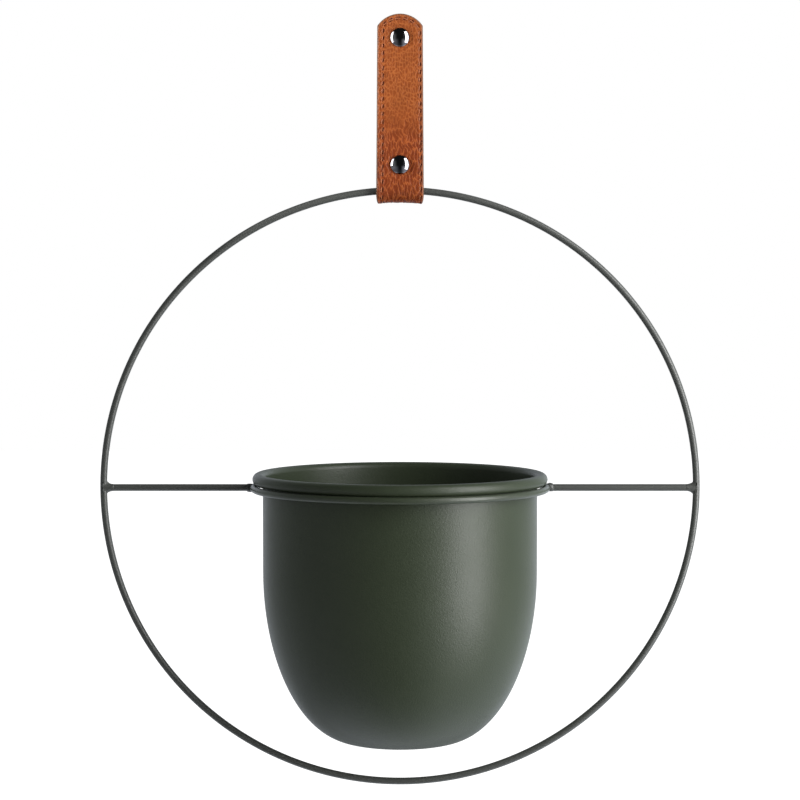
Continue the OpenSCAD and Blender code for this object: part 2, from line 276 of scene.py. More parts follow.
def half_gap(h):
    """Half of the gap between the leaves: eased from the fold to the press studs, wider between."""
    return (fold_r + (snap_gap / 2 - fold_r) * ease(h / (lower_height - land))
            + (loop_gap - snap_gap) / 2 * ease((h - part_z) / part_len)
            + (snap_gap - loop_gap) / 2 * ease((h - close_z) / part_len))


def side_half(s):
    """Half of the width between the straight sides: a slight taper, drawn in a little at the fold."""
    taper = strap_w / 2 + (strap_tip_w - strap_w) / 2 * np.clip(s / corner_height, 0, 1)
    return taper - fold_inset * (1 - ease((s - fold_bottom) / fold_inset_len))


def half_width(s):
    """Half of the strap's width: the straight sides, then the round tip's circle."""
    tip = np.sqrt(np.clip(tip_r**2 - np.clip(s - tip_middle, 0, None) ** 2, 0, None))
    return np.minimum(side_half(s), tip)


def on_strap(x, s, depth, side):
    """Where a place on the strap lies, side -1 for the front half and 1 for the rear one. A leaf is
    its gap curve plus depth along that curve's normal, the fold is a circle about the wire, and its
    edges droop with the square of x, as the hoop does under them."""
    h = np.clip(s, 0, None)
    step = 0.3
    slope = (half_gap(h + step) - half_gap(h - step)) / (2 * step)
    n = 1 / np.sqrt(1 + slope**2)
    a = np.clip(-s, 0, None) / fold_out
    y = np.where(s >= 0, half_gap(h) + depth * n, (fold_r + depth) * np.cos(a))
    z = np.where(s >= 0, h - depth * slope * n, -(fold_r + depth) * np.sin(a))
    fade = 1 - ease((s + fold_out) / (fold_out + fold_droop_len))
    droop = fold_droop * (x / (strap_w / 2)) ** 2 * fade
    return np.stack(np.broadcast_arrays(x, side * y, wire_z + z - droop), -1)


def edge_distance(x, s):
    """How far a place is inside the strap's outline: the smaller of its distances to the straight side
    and to the tip's circle."""
    above = np.clip(s - tip_middle, 0, None)
    tip = np.where(above > 0, tip_r - np.hypot(x, above), 99.0)
    return np.clip(np.minimum(side_half(s) - np.abs(x), tip), 0, None)


# The seam is two side rows and an arc inside the tip, each with a whole number of stitches
seam_tip_r = tip_r - seam_tip
tip_from = math.asin((seam_left - strap_tip_w / 2) / seam_tip_r)
tip_to = math.asin((strap_tip_w / 2 - seam_right) / seam_tip_r)
tip_count = round((tip_to - tip_from) * seam_tip_r / stitch_pitch)


def side_row(side, inset, tip_angle):
    """A side row: its side, its distance from the edge, the s of its top and its stitch count."""
    top = tip_middle + seam_tip_r * math.cos(tip_angle)
    return side, inset, top, round((top - fold_bottom) / stitch_pitch)


side_rows = [side_row(-1, seam_left, tip_from), side_row(1, seam_right, tip_to)]


def seam_field(x, s):
    """Signed distance across the nearest row of the seam, to the right of a side row and outside the
    tip's arc, and the place along it in stitches."""
    across, along = np.full(x.shape, 9.0), np.zeros(x.shape)
    for side, inset, top, count in side_rows:
        row = np.where(s < top, x - side * (side_half(s) - inset), 9.0)
        nearer = np.abs(row) < np.abs(across)
        along = np.where(nearer, (s - fold_bottom) / (top - fold_bottom) * count, along)
        across = np.where(nearer, row, across)
    a = np.arctan2(x, s - tip_middle)
    in_arc = (s > tip_middle) & (a > tip_from) & (a < tip_to)
    arc = np.where(in_arc, np.hypot(x, s - tip_middle) - seam_tip_r, 9.0)
    nearer = np.abs(arc) < np.abs(across)
    along = np.where(nearer, (a - tip_from) / (tip_to - tip_from) * tip_count, along)
    return np.where(nearer, arc, across), along


def seam_stitches():
    """The middle x and s of every stitch of one half of the strap, and its angle from the length: each
    lies a half past a whole number of stitches along its row, or along the arc."""
    x, s, a = [], [], []
    for side, inset, top, count in side_rows:
        row_s = fold_bottom + (np.arange(count) + 0.5) / count * (top - fold_bottom)
        s.append(row_s)
        x.append(side * (side_half(row_s) - inset))
        a.append(np.zeros(count))
    t = tip_from + (np.arange(tip_count) + 0.5) / tip_count * (tip_to - tip_from)
    s.append(tip_middle + seam_tip_r * np.cos(t))
    x.append(seam_tip_r * np.sin(t))
    a.append(t + np.pi / 2)
    return np.concatenate(x), np.concatenate(s), np.concatenate(a)


# The leather's skin
swell = 0.3
swell_len = 2.4
wave_height = 0.08
ridge_height = 0.16
border_fall = 0.45
border_width = 2.6
edge_round = 0.8
back_round = 0.45
ply_round = 0.18
edge_wear = 0.62
bore_from = 1.1
bore_to = 1.5
bore_depth = 1.4
long_grain_to = 34
grain_fade = 18

# The seam's groove, its slits and its thread, which change where its arc rounds the tip
groove_depth = 0.14
groove_half = 0.5
slit_depth = 0.36
slit_slant = 0.14
slit_offset = 0.36
slit_half_width = 0.4
slit_half_len = 0.7
slit_fade = 0.6
arc_rise = 7
arc_fade = 2
arc_slit_shift = 0.4
arc_slit_widening = 0.22
arc_slit_deepening = 0.7
arc_thread_drop = 0.16
thread_offset = -0.16
thread_rise = 0.04
thread_dive = 0.6
thread_twist = 7.5
inner_seam_from = 5.0
inner_thread_rise = 0.05


def leather_grain(x, along):
    """Ridges from 0 to 1: bells on the borders of cells that are bent by noise, long cells near the
    fold and shorter ones above, softened in patches and broken up by fine noise. Each pair of sizes
    is the width and length of its cells or of its noise."""
    bent_x = x + 0.5 * soft_noise(x / 1.7, along / 2.6, 11)
    bent_s = along + 0.9 * soft_noise(x / 2.1, along / 2.3, 12)
    sway = 1.1 * soft_noise(along / 3.2, x / 6, 22)
    stagger = 2.2 * soft_noise(x / 0.9, along / 7, 23)
    short_cells = bump(cell_border(bent_x / 1.3, bent_s / 2.4, 13), 0.24)
    long_cells = 1.35 * bump(cell_border((bent_x + sway) / 1.7, (bent_s + stagger) / 5.6, 19), 0.17)
    cells = long_cells + (short_cells - long_cells) * ease((along - long_grain_to) / grain_fade)
    patch = 0.5 + 0.5 * soft_noise(x / 4.5, along / 7.5, 15)
    fine = soft_noise(x / 0.55, along / 0.9, 21)
    return np.clip(0.12 * patch + cells * (0.95 - 0.35 * patch) + 0.10 * fine, 0, 1)


def round_tip(s):
    """0 below the seam's arc round the tip and 1 within it, with an eased step between."""
    return ease((s - tip_middle - arc_rise) / arc_fade)


def rounding(edge, radius):
    """How far a quarter circle of that radius lies under a face, near that face's edge."""
    return radius - np.sqrt(np.clip(radius**2 - np.clip(radius - edge, 0, None) ** 2, 0, None))


def outer_skin(x, s, side):
    """Height of the outer leather over its plain face: a swell and a slow wave between seam and press
    studs, plus grain, less a groove under the seam, a slanted slit beside each stitch's thread, wider
    and deeper round the tip, a border that falls away on the left, rounded edges, and a pit inside
    each press stud's tube. The grain comes with it, and the depth of slits and pits, which the
    material also uses to paint shade into them."""
    edge = edge_distance(x, s)
    grain = leather_grain(x, -side * (s - fold_bottom))
    across, along = seam_field(x, s)
    near_cap = np.minimum(np.hypot(x, s - lower_height), np.hypot(x, s - upper_height))
    past_cap = ease((near_cap - cap_r) / swell_len)
    wave = wave_height * soft_noise(x / 6, s / 8, 16)
    relief = ridge_height * (grain - 0.5) * ease((near_cap - cap_r + 0.6) / 0.8)
    groove = groove_depth * bump(across, groove_half)
    from_middle = (along - np.floor(along) - 0.5) * stitch_pitch
    tip = round_tip(s)
    beside = across - slit_offset * (1 - arc_slit_shift * tip) - slit_slant * from_middle
    length = 1 - ease((np.abs(from_middle) - slit_half_len) / slit_fade)
    slit = length * bump(beside, slit_half_width + arc_slit_widening * tip)
    # hole is the slits' depth, and the material also paints shade into the slits by it, more round the tip
    hole = np.where(np.abs(across) < 2, slit * (1 + arc_slit_deepening * tip), 0)
    fall = border_fall * (1 - ease(edge / border_width)) * ease(-x / 5) * ease((s - fold_bottom - 3) / 8)
    height = (swell * past_cap + wave * ease(edge / 2) + relief) * ease(edge / 0.7) - fall
    # The bore joins the hole mask, so the material paints shade into it as well
    bore = ease((bore_to - near_cap) / (bore_to - bore_from))
    sunk = groove + slit_depth * hole + bore_depth * bore + rounding(edge, edge_round)
    return height - sunk, grain, np.maximum(hole, bore)


def leaf_grid(step, cols):
    """Places on one half of the strap, from the fold's bottom to just under the tip's top. Columns
    crowd toward the edges, as a share of u and a share of its quarter sine, and rows follow equal
    angles round the tip."""
    corner_angle = math.asin(strap_tip_w / 2 / tip_r)
    angles = np.linspace(corner_angle, math.radians(1.2), int(corner_angle * tip_r / step) + 1)
    s = np.concatenate([np.arange(fold_bottom, corner_height - step / 2, step),
                        tip_middle + tip_r * np.cos(angles)])
    u = np.linspace(-1, 1, cols)
    x = half_width(s)[:, None] * (0.55 * u + 0.45 * np.sin(np.pi / 2 * u))[None, :]
    return x, np.broadcast_to(s[:, None], x.shape)


def leaf_piece(name, side, inner, outer, step, cols, material, node, slot, carved=False):
    """One ply of one half of the strap: each row of the grid is its outer face and back along its
    inner one. carved gives the outer face its skin."""
    x, s = leaf_grid(step, cols)
    edge = edge_distance(x, s)
    if carved:
        height, grain, hole = outer_skin(x, s, side)
    else:
        height, grain, hole = -rounding(edge, ply_round), leather_grain(x, s), np.zeros(x.shape)
    face = on_strap(x, s, outer + height, side)
    back = on_strap(x, s, inner + rounding(edge, ply_round if carved else back_round), side)
    wear = bump(edge, edge_wear)
    values = {
        "grain": np.concatenate([grain, grain[:, ::-1]], axis=1),
        # hole: the mask by which the material paints shade into the slits and the bores
        "hole": np.concatenate([hole, 0 * hole], axis=1),
        "wear": np.concatenate([wear, wear[:, ::-1]], axis=1),
    }
    points = np.concatenate([face, back[:, ::-1]], axis=1)
    return grid_piece(name, points, False, material, poles=False, replaces=(node,), slot=slot,
                      values=values)


def stitch_piece(name, side, material, node):
    """The stitches of one half, on its outer face and, above the fold, on its inner one: each is a
    thread along u that dives into its holes with the fourth power of u, and swells with a sine where
    its two twisted strands stand out. Round the tip the outer ones lie deeper."""
    places = seam_stitches()
    above = places[1] > inner_seam_from
    inner = np.concatenate([np.zeros(len(above), bool), np.ones(above.sum(), bool)])[:, None, None]
    mid_x, mid_s, mid_a = (np.concatenate([v, v[above]])[:, None, None] for v in places)
    u = np.linspace(-1, 1, 9)[None, :, None]
    a = (np.arange(6) * np.pi / 3)[None, None, :]
    half = stitch_pitch * stitch_share / 2
    strand = np.sin(2 * a + thread_twist * u)
    r = thread_r * np.sqrt(np.clip(1.02 - u**8, 0, 1)) * (1 + 0.12 * strand)
    rise = thread_rise - arc_thread_drop * round_tip(mid_s)
    dive = thread_dive * u**4
    middle = np.where(inner, dive - inner_thread_rise, strap_t + swell - groove_depth + rise - dive)
    lift = middle + r * np.sin(a)
    along, across = half * u, r * np.cos(a) + thread_offset + slit_slant * half * u
    x = mid_x + along * np.sin(mid_a) + across * np.cos(mid_a)
    s = mid_s + along * np.cos(mid_a) - across * np.sin(mid_a)
    points = on_strap(x, s, lift, side)
    count, rows, cols = points.shape[:3]
    flat = points.reshape(-1, 3)
    one = grid_faces(rows, cols, False, True)
    start = (np.arange(count) * rows * cols)[:, None]
    faces = outward(flat, (one[None] + start[:, :, None]).reshape(-1, 4))
    first, last = start + np.arange(cols), start + (rows - 1) * cols + np.arange(cols)[::-1]
    ends = np.concatenate([first, last])
    if not np.array_equal(faces[0], one[0]):
        ends = ends[:, ::-1]
    strands = np.broadcast_to(strand, points.shape[:3])
    return make_piece(name, flat, faces.tolist() + ends.tolist(), material, replaces=(node,),
                      slot="thread", values={"strand": strands})


# Materials

def new_group(name, inputs, outputs):
    """An empty node group with those sockets, as (group, its input node, its output node)."""
    group = bpy.data.node_groups.new(name, "ShaderNodeTree")
    for label, kind, default in inputs:
        group.interface.new_socket(label, in_out="INPUT", socket_type=kind).default_value = default
    for label, kind in outputs:
        group.interface.new_socket(label, in_out="OUTPUT", socket_type=kind)
    return group, group.nodes.new("NodeGroupInput"), group.nodes.new("NodeGroupOutput")


def add(tree, kind, settings=None, **links):
    """A node with its settings; each link names an input and gives its value or the socket it takes."""
    node = tree.nodes.new(kind)
    for label, value in (settings or {}).items():
        setattr(node, label, value)
    for label, value in links.items():
        socket = node.inputs[int(label[1:]) if label[0] == "_" else label.replace("_", " ")]
        if isinstance(value, bpy.types.NodeSocket):
            tree.links.new(value, socket)
        else:
            socket.default_value = value
    return node


def math_node(tree, operation, *values, clamp=False):
    """The output of a Math node."""
    links = {f"_{k}": value for k, value in enumerate(values)}
    return add(tree, "ShaderNodeMath", {"operation": operation, "use_clamp": clamp}, **links).outputs[0]


def scaled(tree, vector, factor):
    """A colour or vector times a number."""
    return add(tree, "ShaderNodeVectorMath", {"operation": "SCALE"}, _0=vector, Scale=factor).outputs[0]


def mix_colour(tree, factor, a, b):
    """The output of a Mix node between two colours."""
    node = tree.nodes.new("ShaderNodeMix")
    node.data_type = "RGBA"
    for index, value in ((0, factor), (6, a), (7, b)):
        if isinstance(value, bpy.types.NodeSocket):
            tree.links.new(value, node.inputs[index])
        else:
            node.inputs[index].default_value = value
    return node.outputs[2]


def noise(tree, vector, scale, detail=2.0, roughness=0.5):
    """A noise texture's value, with that many features to the metre."""
    return add(tree, "ShaderNodeTexNoise", Vector=vector, Scale=scale, Detail=detail,
               Roughness=roughness).outputs[0]


def new_material(name, **constants):
    """A material with a Principled shader whose constants sit on its own sockets."""
    material = bpy.data.materials.new(name)
    material.use_nodes = True
    tree = material.node_tree
    shader = tree.nodes["Principled BSDF"]
    for label, value in constants.items():
        shader.inputs[label.replace("_", " ")].default_value = value
    return material, tree, shader


def connect(tree, shader, height, strength, distance, **sockets):
    """Links a height to the shader's normal by way of a Bump node, and each socket to its input."""
    relief = add(tree, "ShaderNodeBump", Height=height, Strength=strength, Distance=distance)
    tree.links.new(relief.outputs["Normal"], shader.inputs["Normal"])
    for label, socket in sockets.items():
        tree.links.new(socket, shader.inputs[label.replace("_", " ")])


def coating_group():
    """Powder coat: orange peel of about 1 mm with grains of about 0.5 mm on it."""
    group, inside, outside = new_group(
        "powder_texture",
        [("Vector", "NodeSocketVector", (0, 0, 0)), ("Colour", "NodeSocketColor", (0.1, 0.1, 0.1, 1)),
         ("Roughness", "NodeSocketFloat", 0.4)],
        [("Colour", "NodeSocketColor"), ("Roughness", "NodeSocketFloat"), ("Height", "NodeSocketFloat")])
    place = inside.outputs["Vector"]
    peel = noise(group, place, 1000.0, 1.0)
    grains = noise(group, place, 2000.0, 2.0, 0.6)
    cloud = noise(group, place, 45.0, 2.0)
    shade = math_node(group, "MULTIPLY_ADD", cloud, 0.14, math_node(group, "MULTIPLY_ADD", grains, 0.5, 0.72))
    rough = math_node(group, "MULTIPLY_ADD", grains, 0.16, inside.outputs["Roughness"])
    rough = math_node(group, "MULTIPLY_ADD", cloud, 0.06, rough)
    group.links.new(scaled(group, inside.outputs["Colour"], shade), outside.inputs["Colour"])
    group.links.new(rough, outside.inputs["Roughness"])
    group.links.new(math_node(group, "MULTIPLY_ADD", grains, 0.8, peel), outside.inputs["Height"])
    return group


def powder_coat(name, colour, roughness, texture, gloss=0.5, coat=0.0):
    """Satin powder coat in one colour, with a share of smoother clear layer on it."""
    material, tree, shader = new_material(name, Specular_IOR_Level=gloss, Coat_Weight=coat,
                                          Coat_Roughness=0.3)
    place = add(tree, "ShaderNodeTexCoord").outputs["Object"]
    group = add(tree, "ShaderNodeGroup", {"node_tree": texture}, Vector=place, Colour=colour,
                Roughness=roughness)
    connect(tree, shader, group.outputs["Height"], 0.5, 0.00011, Base_Color=group.outputs["Colour"],
            Roughness=group.outputs["Roughness"])
    return material


def leather_group():
    """Leather: ground and ridge colours mixed by the grain, the ridges' paler colour partly the grain's own
    tone and partly a painted highlight, painted shade in holes, greyish on cut edges.
    """
    group, inside, outside = new_group(
        "leather_skin",
        [("Vector", "NodeSocketVector", (0, 0, 0)), ("Ground", "NodeSocketColor", (0.3, 0.1, 0.03, 1)),
         ("Ridge", "NodeSocketColor", (0.5, 0.2, 0.08, 1)), ("Edge", "NodeSocketColor", (0.1, 0.08, 0.06, 1)),
         ("Roughness", "NodeSocketFloat", 0.5)],
        [("Colour", "NodeSocketColor"), ("Roughness", "NodeSocketFloat"), ("Height", "NodeSocketFloat")])
    place = inside.outputs["Vector"]
    grain, hole, wear = (add(group, "ShaderNodeAttribute", {"attribute_name": label}).outputs["Fac"]
                         for label in ("grain", "hole", "wear"))
    pores = noise(group, place, 3600.0, 2.0, 0.6)
    blotch = noise(group, place, 130.0, 3.0, 0.55)
    # The ridge colour is paler than the ground: partly the grain's own tone and partly a painted highlight on
    # the ridge tops
    above = math_node(group, "SUBTRACT", grain, 0.25)
    ridge = math_node(group, "MULTIPLY_ADD", pores, 0.6, above, clamp=True)
    colour = mix_colour(group, ridge, inside.outputs["Ground"], inside.outputs["Ridge"])
    colour = scaled(group, colour, math_node(group, "MULTIPLY_ADD", blotch, 0.5, 0.75))
    colour = mix_colour(group, math_node(group, "MULTIPLY", wear, 0.85), colour, inside.outputs["Edge"])
    # Painted shade: a dark brown laid into the slits and the press studs' bores by the hole mask
    pit = math_node(group, "MULTIPLY", hole, 1.15, clamp=True)
    colour = mix_colour(group, pit, colour, (0.105, 0.017, 0.004, 1))
    rough = math_node(group, "MULTIPLY_ADD", pores, 0.18, inside.outputs["Roughness"])
    rough = math_node(group, "MULTIPLY_ADD", hole, 0.3, math_node(group, "MULTIPLY_ADD", grain, -0.1, rough))
    group.links.new(colour, outside.inputs["Colour"])
    group.links.new(rough, outside.inputs["Roughness"])
    group.links.new(math_node(group, "MULTIPLY_ADD", grain, 0.4, pores), outside.inputs["Height"])
    return group


def leather(name, skin, ground, ridge, low_ground, low_ridge, edge, roughness, strength):
    """Leather whose colours turn, by an eased step down the strap, into darker and redder ones towards the
    bottom.
    """
    material, tree, shader = new_material(name, Specular_IOR_Level=0.3)
    place = add(tree, "ShaderNodeTexCoord").outputs["Object"]
    height = add(tree, "ShaderNodeSeparateXYZ", Vector=place).outputs["Z"]
    low = add(tree, "ShaderNodeMapRange", {"interpolation_type": "SMOOTHSTEP"}, Value=height,
              From_Min=-0.024, From_Max=-0.050, To_Min=0.0, To_Max=1.0).outputs[0]
    group = add(tree, "ShaderNodeGroup", {"node_tree": skin}, Vector=place, Edge=edge, Roughness=roughness,
                Ground=mix_colour(tree, low, ground, low_ground),
                Ridge=mix_colour(tree, low, ridge, low_ridge))
    connect(tree, shader, group.outputs["Height"], strength, 0.00008, Base_Color=group.outputs["Colour"],
            Roughness=group.outputs["Roughness"])
    return material


def thread(name, dark, light):
    """Twisted waxed thread whose colour is lighter on its strands and darker between them: painted light and
    shade of the twist, with fibre noise.
    """
    material, tree, shader = new_material(name, Roughness=0.6)
    strand = add(tree, "ShaderNodeAttribute", {"attribute_name": "strand"}).outputs["Fac"]
    place = add(tree, "ShaderNodeTexCoord").outputs["Object"]
    fibres = noise(tree, place, 5200.0, 2.0)
    # Painted light and shade: the strand attribute makes the thread lighter on its crowns and darker in the
    # grooves between them
    tone = math_node(tree, "MULTIPLY_ADD", strand, 0.35, fibres, clamp=True)
    connect(tree, shader, fibres, 0.5, 0.00005, Base_Color=mix_colour(tree, tone, dark, light))
    return material


def plated_metal(name, colour, roughness, scratch_scale, strength):
    """Polished plated metal with cloudy smudges and fine scratches in its roughness."""
    material, tree, shader = new_material(name, Metallic=1.0, Base_Color=colour)
    place = add(tree, "ShaderNodeTexCoord").outputs["Object"]
    smudge = noise(tree, place, 260.0, 3.0, 0.6)
    stretched = add(tree, "ShaderNodeMapping", Vector=place, Scale=(1.0, 1.0, 9.0)).outputs[0]
    scratches = noise(tree, stretched, scratch_scale, 2.0, 0.7)
    rough = math_node(tree, "MULTIPLY_ADD", smudge, 0.08, roughness - 0.04)
    rough = math_node(tree, "MULTIPLY_ADD", scratches, 0.06, rough)
    connect(tree, shader, scratches, strength, 0.00001, Roughness=rough)
    return material


coating = coating_group()
skin_group = leather_group()
pot_green = (0.031, 0.042, 0.022, 1)
# The wires' green is a lighter, greyer copy of the pot's green for the same paint: painted reflection of the
# white room on the thin wires
wire_green_with_painted_reflection = (0.050, 0.054, 0.048, 1)
pot_coat = powder_coat("green_powder_coat_pot", pot_green, 0.33, coating)
ring_coat = powder_coat("green_powder_coat_ring", pot_green, 0.33, coating, gloss=0.6, coat=0.28)
wire_coat = powder_coat("green_powder_coat_wire", wire_green_with_painted_reflection, 0.42, coating, gloss=1.0, coat=0.35)
# ridge and low_ridge are partly a painted highlight on the grain's ridges
tan_leather = leather(
    "tan_leather", skin_group, ground=(0.222, 0.043, 0.004, 1), ridge=(0.398, 0.113, 0.028, 1),
    low_ground=(0.160, 0.022, 0.001, 1), low_ridge=(0.355, 0.086, 0.020, 1),
    edge=(0.14, 0.085, 0.050, 1), roughness=0.38, strength=0.5)
lining_leather = leather(
    "lining_leather", skin_group, ground=(0.26, 0.085, 0.035, 1), ridge=(0.34, 0.125, 0.055, 1),
    low_ground=(0.24, 0.075, 0.032, 1), low_ridge=(0.32, 0.115, 0.050, 1),
    edge=(0.12, 0.075, 0.055, 1), roughness=0.72, strength=0.9)
brown_thread = thread("brown_thread", dark=(0.26, 0.060, 0.014, 1), light=(0.48, 0.145, 0.044, 1))
gunmetal = plated_metal("gunmetal", (0.30, 0.29, 0.305, 1), roughness=0.06, scratch_scale=900.0,
                        strength=0.02)
spring_steel = plated_metal("spring_steel", (0.62, 0.62, 0.64, 1), roughness=0.22,
                            scratch_scale=1400.0, strength=0.3)


# The frame's wires

def wire_ring(radius, steps, upright):
    """A ring of wire: (R + r cos b) at angle a, and r sin b across. upright stands it in the XZ plane."""
    a = np.linspace(0, 2 * np.pi, steps, endpoint=False)[:, None]
    b = np.linspace(0, 2 * np.pi, 32, endpoint=False)[None, :]
    out = radius + wire_r * np.cos(b)
    across = np.broadcast_to(wire_r * np.sin(b), (steps, 32))
    first, second = out * np.cos(a), out * np.sin(a)
    return np.stack([first, across, hoop_z + second] if upright else [first, second, hoop_z + across], -1)


def bar_tube(side):
    """A crossbar from the middle of the ring's wire to the middle of the hoop's: (x, r cos b, r sin b)."""
    x = np.linspace(ring_r + bar_end_gap, hoop_r - bar_end_gap, 60)[:, None]
    b = np.linspace(0, 2 * np.pi, 32, endpoint=False)[None, :]
    return np.stack(np.broadcast_arrays(side * x, wire_r * np.cos(b), hoop_z + wire_r * np.sin(b)), -1)


def weld_sleeve(side, at_hoop):
    """A weld round a bar's end, the bar's radius plus a rise times lumps of soft noise. At the hoop it
    is a hollow fillet that starts on the hoop's round, 1 - sin of the way along it, full along the
    hoop's wire and thin across it. At the ring it is a bead, cos of the way along it."""
    way = np.linspace(0 if at_hoop else -np.pi / 2, np.pi / 2, 24)[:, None]
    b = np.linspace(0, 2 * np.pi, 64, endpoint=False)[None, :]
    lumps = 1 + 0.25 * soft_noise(2.2 * np.cos(b) + 1.4 * way, 2.2 * np.sin(b) + side, 31)
    if at_hoop:
        full = fillet_rise * (0.05 + 0.95 * np.sin(b) ** 2)
        rise = full * (1 - np.sin(way))
        depth = np.sqrt(np.clip(wire_r**2 - ((wire_r + full) * np.cos(b)) ** 2, 0, None))
        on_hoop = hoop_r - depth + fillet_root
        toe = hoop_r - wire_r - fillet_len
        x = on_hoop - (on_hoop - toe) * (1 - np.cos(way))
    else:
        rise = weld_bead_rise * np.cos(way) * (0.7 + 0.3 * side * np.sin(b))
        x = weld_bead_middle + weld_bead_half * np.sin(way)
    out = wire_r + weld_skin + rise * lumps
    return np.stack(np.broadcast_arrays(side * x, out * np.cos(b), hoop_z + out * np.sin(b)), -1)


def frame_piece(name, points, ring, node, coat=wire_coat):
    """A powder-coated piece of the frame."""
    grid_piece(name, points, ring, coat, "frame", poles=False, replaces=(node,),
               slot="green_powder_coat_wire")


frame_piece("outer_hoop_wire", wire_ring(hoop_r, 720, True), True, "outer_hoop")
frame_piece("pot_ring_wire", wire_ring(ring_r, 480, False), True, "pot_ring", ring_coat)
for bar_side, bar_name in ((-1, "left"), (1, "right")):
    frame_piece(f"{bar_name}_crossbar_wire", bar_tube(bar_side), False, f"{bar_name}_crossbar")
    frame_piece(f"{bar_name}_hoop_weld", weld_sleeve(bar_side, True), False, "hoop_welds")
    frame_piece(f"{bar_name}_ring_weld", weld_sleeve(bar_side, False), False, "ring_welds")


# The pot

def pot_profile():
    """The pot's section from its outer bottom to its inner one: a quarter ellipse up to the straight
    wall, the sheet's roll round a circle and back outside it, and the same ellipse one wall inside."""
    bead_ring_r = pot_r - pot_wall + bead_r
    reach = bead_r + wire_r + rest_gap
    bead_z = hoop_z + math.sqrt(reach**2 - (ring_r - bead_ring_r) ** 2)
    bowl_z = bead_z - pot_straight
    bottom = bowl_z - pot_bowl

    def bowl(inset):
        """A quarter ellipse: the foot's radius plus the rest times sin a, and the depth times cos a."""
        a = np.linspace(0, np.pi / 2, 72)
        r = foot_r + (pot_r - inset - foot_r) * np.sin(a)
        return np.stack([r, bowl_z - (pot_bowl - inset) * np.cos(a)], -1)

    def wall(radius):
        """A straight line up at one radius."""
        return np.stack([np.full(12, radius), np.linspace(bowl_z, bead_z, 14)[1:-1]], -1)

    def roll(radius, first, last):
        """An arc round the bead's middle: radius times cos a out and sin a up."""
        a = np.radians(np.linspace(first, last, 44))
        return np.stack([bead_ring_r + radius * np.cos(a), bead_z + radius * np.sin(a)], -1)

    def disc(height):
        """A straight line out from the axis to the foot's radius."""
        return np.stack([np.linspace(0, foot_r, 9)[:-1], np.full(8, height)], -1)

    end = 180 - 360 * bead_turn_share
    return np.concatenate([disc(bottom), bowl(0), wall(pot_r), roll(bead_r - pot_wall, 180, end),
                           roll(bead_r, end, 180), wall(pot_r - pot_wall)[::-1], bowl(pot_wall)[::-1],
                           disc(bottom + pot_wall)[::-1]])


grid_piece("pot_body", turn(pot_profile(), 288), False, pot_coat, "pot", replaces=("pot_shell",),
           slot="green_powder_coat_pot")


# The strap, whose front half bends at the line on which it folds open; here the front pieces are only baked
# in place

def bend_front(piece):
    """Bakes a front piece's placement into its mesh, on no body."""
    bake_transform(piece)


skin_step, skin_cols = 0.25, 109
lining_step, lining_cols = 0.7, 45
bend_front(leaf_piece("front_outer_leather", -1, lining_t, strap_t, skin_step, skin_cols, tan_leather,
                      "flap_outer_leather", "tan_leather", carved=True))
bend_front(leaf_piece("front_lining", -1, 0, lining_t, lining_step, lining_cols, lining_leather,
                      "flap_lining", "lining_leather"))
bend_front(stitch_piece("front_stitches", -1, brown_thread, "flap_stitching"))
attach(leaf_piece("rear_outer_leather", 1, lining_t, strap_t, skin_step, skin_cols, tan_leather,
                   "strap_outer_leather", "tan_leather", carved=True), "strap")
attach(leaf_piece("rear_lining", 1, 0, lining_t, lining_step, lining_cols, lining_leather,
                   "strap_lining", "lining_leather"), "strap")
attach(stitch_piece("rear_stitches", 1, brown_thread, "strap_stitching"), "strap")


# The press studs

snap_face = snap_gap / 2 + strap_t
tube_bore_r = tube_r - sheet_t
socket_h = snap_gap - base_t - rest_gap
mouth_r = head_r + stud_play
cavity_r = mouth_r + 2 * spring_r + fit_gap
roll_r = tube_r + sheet_t
stud_h = snap_gap - base_t - sheet_t - rest_gap / 2
stud_head_h = (stud_h - base_t) * 2 / 5
eyelet_r = neck_r - sheet_t - fit_gap
flange_r = cap_r - sheet_t - fit_gap
dome_inset = 0.16
dome_rise = 0.325
lip_bulge = 0.08
lip_gap = 0.05
spring_opening = math.radians(50)


def dome(radius, edge, top, steps=28):
    """A cap of a ball from its middle to its edge: the ball's radius times sin a out, and times cos a
    up from the ball's middle."""
    rise = top - edge
    ball = (radius**2 + rise**2) / (2 * rise)
    a = np.linspace(0, math.asin(radius / ball), steps)
    return np.stack([ball * np.sin(a), top - ball + ball * np.cos(a)], -1)


def cap_profile():
    """The cap's section from its inner pole to its outer one: a dome, the lip turned in under it, an
    arc round the edge with the edge's height as its radius, and the outer dome that the arc meets."""
    a = np.radians(np.linspace(-90, 51, 13))[:, None]
    edge_turn = np.concatenate([cap_r - cap_edge + cap_edge * np.cos(a), cap_edge + cap_edge * np.sin(a)],
                               axis=1)
    lip = [[cap_r - sheet_t - lip_gap, sheet_t], [cap_r - lip_w, sheet_t],
           [cap_r - lip_w - lip_bulge, sheet_t / 2], [cap_r - lip_w, 0]]
    outer = dome(cap_r - dome_inset, cap_edge + dome_rise, cap_h)[::-1]
    return np.concatenate([dome(cap_r - sheet_t, cap_edge, cap_h - sheet_t), lip, edge_turn, outer])


